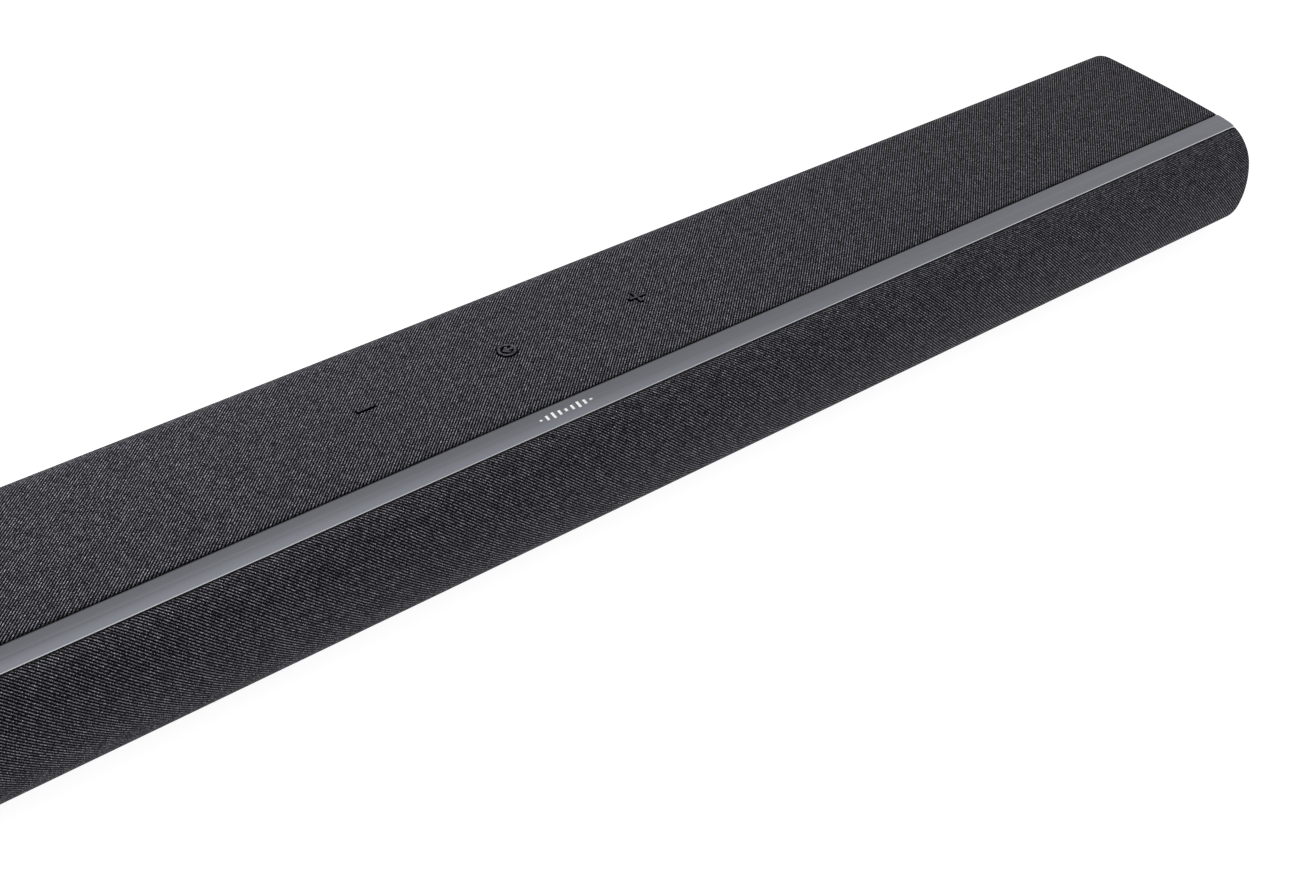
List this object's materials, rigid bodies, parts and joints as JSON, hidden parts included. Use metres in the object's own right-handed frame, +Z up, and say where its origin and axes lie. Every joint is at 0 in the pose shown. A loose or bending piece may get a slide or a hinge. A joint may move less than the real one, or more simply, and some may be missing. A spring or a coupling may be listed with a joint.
{
  "type": "soundbar",
  "caption": "Long low soundbar: a rounded cloth-covered housing with a satin metal strip along the front edge, press keys on top and a connector bay behind.",
  "frame": {"origin": "centre of the footprint, at the level of the underside of the rubber feet", "axes": "+X along the bar to the listener's right, -Y towards the listener, +Z up"},
  "size_m": [0.86, 0.1249, 0.0657],
  "materials": {
    "cloth": "woven melange twill, charcoal",
    "trim": "satin anodised, blue-grey, with a polished lower edge",
    "shell": "fine moulded texture, black",
    "end_cap": "satin moulded, black",
    "rubber": "matt",
    "inner_plastic": "moulded",
    "foam": "open foam",
    "key": "matt, dark grey",
    "plunger": "moulded",
    "circuit_board": "green solder mask",
    "switch_body": "moulded",
    "chip": "moulded",
    "heatsink": "extruded",
    "ferrite": "ferrite core and taped winding",
    "capacitor": "sleeved can",
    "socket_plastic": "moulded, black",
    "socket_metal": "pressed shell",
    "cable": "sheathed",
    "brass": "turned",
    "screw": "black zinc",
    "basket": "glass-filled, moulded",
    "magnet": "ferrite magnet in a steel pot",
    "cone": "coated paper",
    "dome": "doped silk"
  },
  "bodies": {
    "housing": {"top_fabric": "cloth", "front_fabric": "cloth", "trim_strip": "trim", "top_cover": "shell", "front_grille": "shell", "rear_housing": "shell", "left_end_cap": "end_cap", "right_end_cap": "end_cap", "rubber_feet": "rubber", "baffle": "inner_plastic", "driver_gaskets": "foam", "button_board": "circuit_board", "tact_switches": "switch_body", "main_board": "circuit_board", "power_supply_board": "circuit_board", "board_chips": "chip", "amplifier_heatsink": "heatsink", "power_transformer": "ferrite", "supply_capacitors": "capacitor", "power_inlet": "socket_plastic", "hdmi_socket": "socket_metal", "optical_socket": "socket_plastic", "speaker_leads": "cable", "button_ribbon": "cable", "wall_mount_inserts": "brass", "housing_screws": "screw", "board_screws": "screw", "driver_screws": "screw", "woofer_1_basket": "basket", "woofer_1_motor": "magnet", "woofer_1_suspension": "rubber", "woofer_2_basket": "basket", "woofer_2_motor": "magnet", "woofer_2_suspension": "rubber", "woofer_3_basket": "basket", "woofer_3_motor": "magnet", "woofer_3_suspension": "rubber", "woofer_4_basket": "basket", "woofer_4_motor": "magnet", "woofer_4_suspension": "rubber", "tweeter_1_faceplate": "basket", "tweeter_1_motor": "magnet", "tweeter_2_faceplate": "basket", "tweeter_2_motor": "magnet", "tweeter_3_faceplate": "basket", "tweeter_3_motor": "magnet"},
    "minus_key": {"minus_key": "key", "minus_key_plunger": "plunger"},
    "source_key": {"source_key": "key", "source_key_plunger": "plunger", "source_key_inlay": "cloth"},
    "plus_key": {"plus_key": "key", "plus_key_plunger": "plunger"},
    "woofer_1_cone": {"woofer_1_cone": "cone"},
    "woofer_2_cone": {"woofer_2_cone": "cone"},
    "woofer_3_cone": {"woofer_3_cone": "cone"},
    "woofer_4_cone": {"woofer_4_cone": "cone"},
    "tweeter_1_dome": {"tweeter_1_dome": "dome"},
    "tweeter_2_dome": {"tweeter_2_dome": "dome"},
    "tweeter_3_dome": {"tweeter_3_dome": "dome"}
  },
  "joints": [
    {"name": "minus_key_press", "type": "slide", "parent": "housing", "child": "minus_key", "axis": [0, 0, -1], "range_m": [0, 0.0005], "stiffness_N_per_m": 3000, "springref_m": -0.0001},
    {"name": "source_key_press", "type": "slide", "parent": "housing", "child": "source_key", "axis": [0, 0, -1], "range_m": [0, 0.0005], "stiffness_N_per_m": 3000, "springref_m": -0.0001},
    {"name": "plus_key_press", "type": "slide", "parent": "housing", "child": "plus_key", "axis": [0, 0, -1], "range_m": [0, 0.0005], "stiffness_N_per_m": 3000, "springref_m": -0.0001},
    {"name": "woofer_1_excursion", "type": "slide", "parent": "housing", "child": "woofer_1_cone", "axis": [0, -1, 0], "range_m": [-0.002, 0.002], "stiffness_N_per_m": 1200, "deforming": ["woofer_1_suspension"]},
    {"name": "woofer_2_excursion", "type": "slide", "parent": "housing", "child": "woofer_2_cone", "axis": [0, -1, 0], "range_m": [-0.002, 0.002], "stiffness_N_per_m": 1200, "deforming": ["woofer_2_suspension"]},
    {"name": "woofer_3_excursion", "type": "slide", "parent": "housing", "child": "woofer_3_cone", "axis": [0, -1, 0], "range_m": [-0.002, 0.002], "stiffness_N_per_m": 1200, "deforming": ["woofer_3_suspension"]},
    {"name": "woofer_4_excursion", "type": "slide", "parent": "housing", "child": "woofer_4_cone", "axis": [0, -1, 0], "range_m": [-0.002, 0.002], "stiffness_N_per_m": 1200, "deforming": ["woofer_4_suspension"]},
    {"name": "tweeter_1_excursion", "type": "slide", "parent": "housing", "child": "tweeter_1_dome", "axis": [0, -1, 0], "range_m": [-0.0003, 0.0003], "stiffness_N_per_m": 4000},
    {"name": "tweeter_2_excursion", "type": "slide", "parent": "housing", "child": "tweeter_2_dome", "axis": [0, -1, 0], "range_m": [-0.0003, 0.0003], "stiffness_N_per_m": 4000},
    {"name": "tweeter_3_excursion", "type": "slide", "parent": "housing", "child": "tweeter_3_dome", "axis": [0, -1, 0], "range_m": [-0.0003, 0.0003], "stiffness_N_per_m": 4000}
  ]
}
